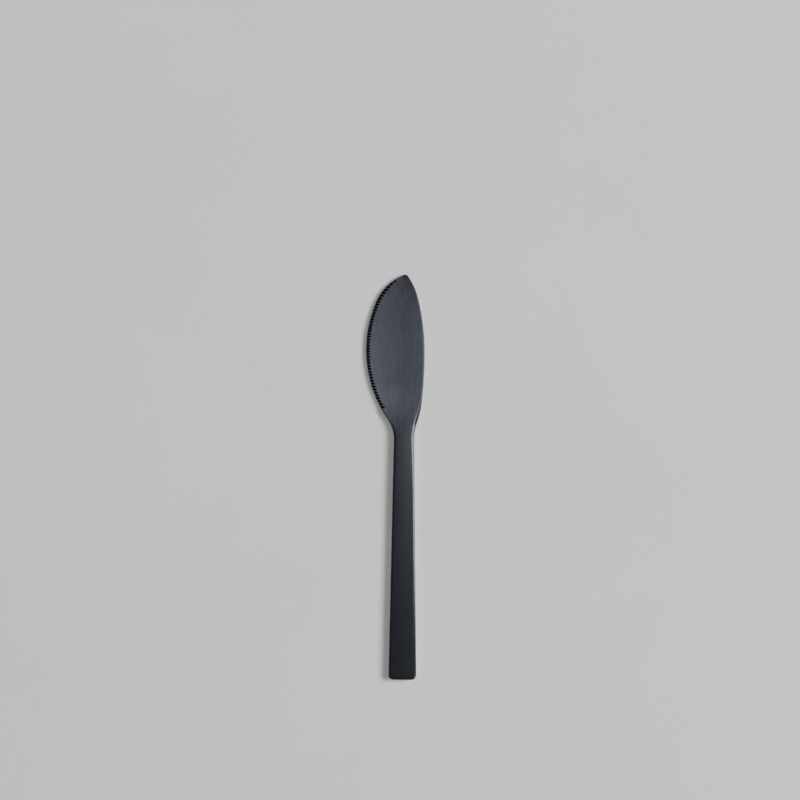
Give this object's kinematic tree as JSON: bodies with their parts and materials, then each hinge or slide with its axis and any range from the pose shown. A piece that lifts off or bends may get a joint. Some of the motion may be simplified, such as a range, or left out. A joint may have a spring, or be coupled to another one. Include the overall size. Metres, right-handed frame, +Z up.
{
  "type": "butter knife",
  "caption": "Flat table knife with a wide pointed blade, a finely serrated curved edge, a waisted neck and a slim tapering hollow handle in black steel.",
  "frame": {"origin": "middle of the handle's flat underside, which lies on the table", "axes": "+Y along the knife towards its tip, +Z up from the table, -X towards the cutting edge and +X towards the spine"},
  "size_m": [0.0245, 0.17, 0.0044],
  "materials": {
    "black_steel": "satin",
    "braze": "satin",
    "cement": "matte"
  },
  "bodies": {
    "root": {"blade": "black_steel", "handle_top_shell": "black_steel", "handle_bottom_shell": "black_steel", "seam_braze": "braze", "neck_braze": "braze", "handle_cement": "cement"}
  },
  "joints": []
}
